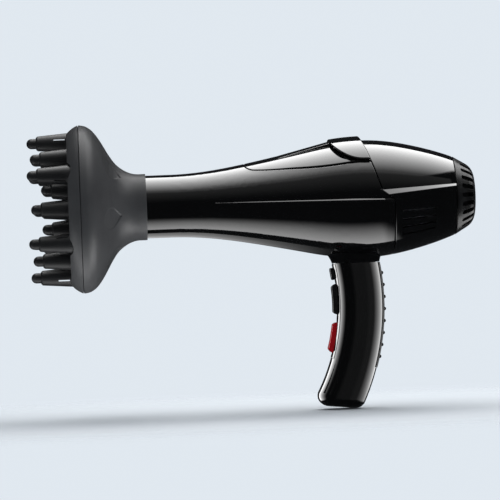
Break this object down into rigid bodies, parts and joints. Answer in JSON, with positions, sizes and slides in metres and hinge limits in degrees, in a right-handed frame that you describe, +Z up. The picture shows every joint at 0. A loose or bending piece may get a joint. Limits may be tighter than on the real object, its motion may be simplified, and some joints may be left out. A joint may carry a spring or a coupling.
{
  "type": "hair dryer",
  "caption": "Hand-held hair dryer with a swelling turned body, bent handle, front rockers and cool-shot button, slotted rear filter cap and a pull-off fingered diffuser.",
  "frame": {"origin": "middle of the grip, on the handle's curved centre line in its plane of symmetry", "axes": "+X along the barrel towards the rear filter cap, so the outlet and diffuser point to -X; +Z up, square to the barrel; +Y to the side with the handle screws"},
  "size_m": [0.3559, 0.134, 0.2336],
  "materials": {
    "housing": "gloss black moulded plastic",
    "neck": "satin black moulded plastic",
    "diffuser": "matte dark grey moulded plastic",
    "fingers": "satin black moulded plastic",
    "rubber": "soft black rubber",
    "switch_plate": "satin black moulded plastic",
    "black_switch": "semi-gloss black plastic",
    "red_switch": "gloss red plastic",
    "switch_case": "moulded black plastic",
    "screws": "blackened steel",
    "screen": "steel gauze",
    "carrier": "grey moulded plastic",
    "motor_steel": "plain steel",
    "motor_plastic": "natural moulded plastic",
    "bearing": "sintered bronze",
    "magnet": "dark ferrite",
    "mica": "pale pressed mica",
    "heating_wire": "resistance wire"
  },
  "bodies": {
    "body": {"front_housing": "housing", "top_panel": "housing", "top_visor": "housing", "rear_housing": "housing", "handle_left": "housing", "handle_right": "housing", "neck_collar": "neck", "grip_strip": "rubber", "cord_inlet_bush": "rubber", "switch_plate": "switch_plate", "speed_switch": "switch_case", "heat_switch": "switch_case", "cool_shot_switch": "switch_case", "handle_screws": "screws", "rocker_pins": "screws", "outlet_grille": "screen", "motor_carrier": "carrier", "motor_can": "motor_steel", "motor_end_cap": "motor_plastic", "motor_bushes": "bearing", "motor_magnets": "magnet", "motor_brushes": "magnet", "mica_sleeve": "mica", "mica_cards": "mica", "thermal_cutout": "mica", "heating_wires": "heating_wire"},
    "rotor": {"motor_shaft": "motor_steel", "armature": "motor_steel", "commutator": "bearing", "fan_impeller": "carrier"},
    "diffuser": {"diffuser_bowl": "diffuser", "diffuser_face": "diffuser", "outer_fingers": "fingers", "middle_fingers": "fingers", "inner_fingers": "fingers"},
    "filter_cap": {"rear_filter_cap": "housing", "filter_mesh": "screen"},
    "speed_rocker": {"speed_rocker": "black_switch"},
    "heat_rocker": {"heat_rocker": "red_switch"},
    "cool_shot": {"cool_shot_button": "black_switch"}
  },
  "joints": [
    {"name": "fan_spin", "type": "hinge", "parent": "body", "child": "rotor", "pos_m": [-0.04517, 0, 0.0904], "axis": [1, 0, 0], "continuous": true},
    {"name": "speed_tilt", "type": "hinge", "parent": "body", "child": "speed_rocker", "pos_m": [-0.01268, 0, 0.01109], "axis": [0, 1, 0], "range_deg": [0, 16]},
    {"name": "heat_tilt", "type": "hinge", "parent": "body", "child": "heat_rocker", "pos_m": [-0.0155, 0, -0.02081], "axis": [0, -1, 0], "range_deg": [0, 16]},
    {"name": "cool_shot_press", "type": "slide", "parent": "body", "child": "cool_shot", "axis": [0.9888, 0, 0.1495], "range_m": [0, 0.0025], "stiffness_N_per_m": 400, "springref_m": -0.002},
    {"name": "diffuser_pull", "type": "slide", "parent": "body", "child": "diffuser", "axis": [-1, 0, 0], "range_m": [0, 0.025]},
    {"name": "filter_cap_pull", "type": "slide", "parent": "body", "child": "filter_cap", "axis": [1, 0, 0], "range_m": [0, 0.012]}
  ]
}
